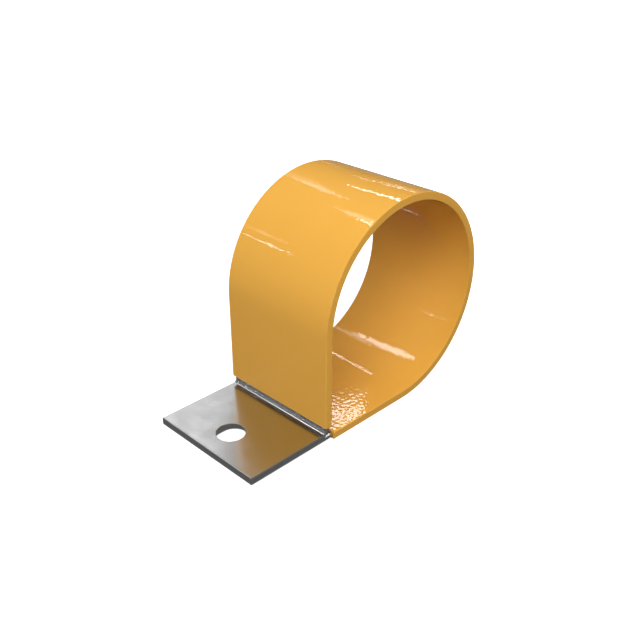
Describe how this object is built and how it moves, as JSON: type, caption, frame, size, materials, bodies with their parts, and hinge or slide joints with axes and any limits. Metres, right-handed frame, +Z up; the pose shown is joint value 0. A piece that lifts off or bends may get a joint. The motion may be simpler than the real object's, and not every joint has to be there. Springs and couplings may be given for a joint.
{
  "type": "p clip",
  "caption": "P clip for a cable or pipe: a flat steel strap bent into a loop with two stacked ears for one screw, in an ochre plastic sleeve.",
  "frame": {"origin": "on the loop's axis, halfway across its width", "axes": "+Y along the loop's axis; +Z up, away from the surface the clip is fixed to; the ears point along -X"},
  "size_m": [0.0583, 0.0254, 0.0412],
  "materials": {
    "steel": "satin polished faces, duller sheared edges",
    "plastic": "glossy ochre, finely pebbled"
  },
  "bodies": {
    "root": {"strap": "steel", "sleeve": "plastic"}
  },
  "joints": []
}
